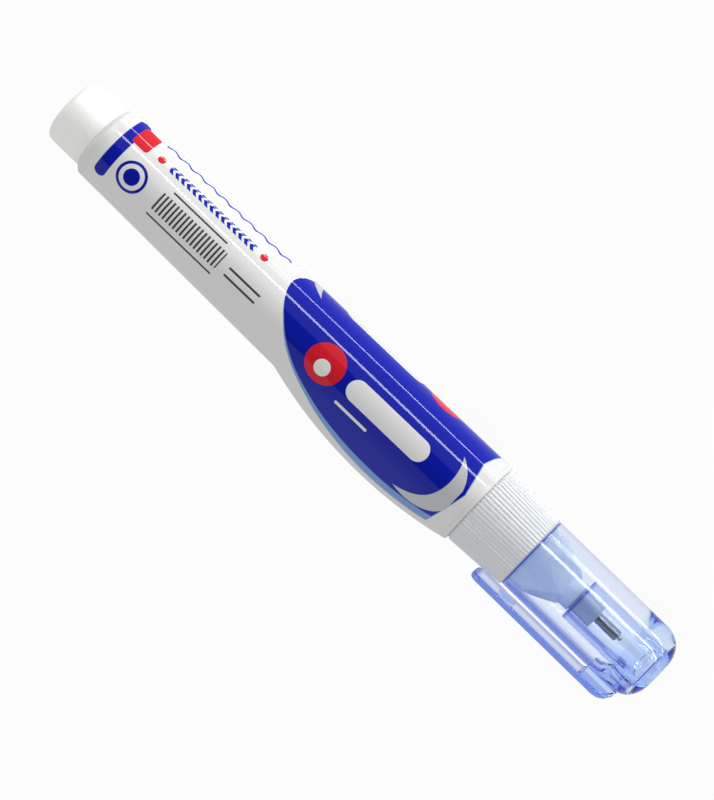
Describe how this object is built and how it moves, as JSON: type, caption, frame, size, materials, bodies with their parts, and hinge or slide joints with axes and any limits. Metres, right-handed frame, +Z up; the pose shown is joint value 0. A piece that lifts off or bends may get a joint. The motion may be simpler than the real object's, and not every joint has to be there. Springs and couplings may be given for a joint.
{
  "type": "correction pen",
  "caption": "Lying correction pen: a squeeze barrel with a round belly and printed sleeve, a spring-closed needle tip in a ribbed tip holder, and a clear pull-off cap with a clip.",
  "frame": {"origin": "centre of the flat tail end, on the axis of the pen", "axes": "+X along the axis from the tail to the nose; +Z up as the pen lies on its flank, square to the printed front panel; the belly points to -Y"},
  "size_m": [0.139, 0.0204, 0.0162],
  "materials": {
    "white_plastic": "satin white",
    "printed_film": "glossy printed film",
    "milky_plastic": "milky, satin",
    "holder_plastic": "satin white",
    "tip_steel": "drawn and polished",
    "pin_steel": "ground",
    "spring_steel": "bright wire",
    "ball_steel": "polished",
    "clear_blue": "clear blue, glossy"
  },
  "bodies": {
    "barrel": {"barrel": "white_plastic", "label_sleeve": "printed_film", "end_plug": "milky_plastic", "tip_holder": "holder_plastic", "metal_tip": "tip_steel", "valve_spring": "spring_steel", "spring_retainer": "milky_plastic"},
    "pin": {"valve_pin": "pin_steel"},
    "cap": {"cap": "clear_blue"},
    "ball": {"agitator_ball": "ball_steel"}
  },
  "joints": [
    {"name": "cap_pull", "type": "slide", "parent": "barrel", "child": "cap", "axis": [1, 0, 0], "range_m": [0, 0.032]},
    {"name": "valve_press", "type": "slide", "parent": "barrel", "child": "pin", "axis": [-1, 0, 0], "range_m": [0, 0.0006], "stiffness_N_per_m": 150, "deforming": ["valve_spring"]},
    {"name": "agitator_roll", "type": "slide", "parent": "barrel", "child": "ball", "axis": [1, 0, -0.0098], "range_m": [0, 0.0685]}
  ]
}
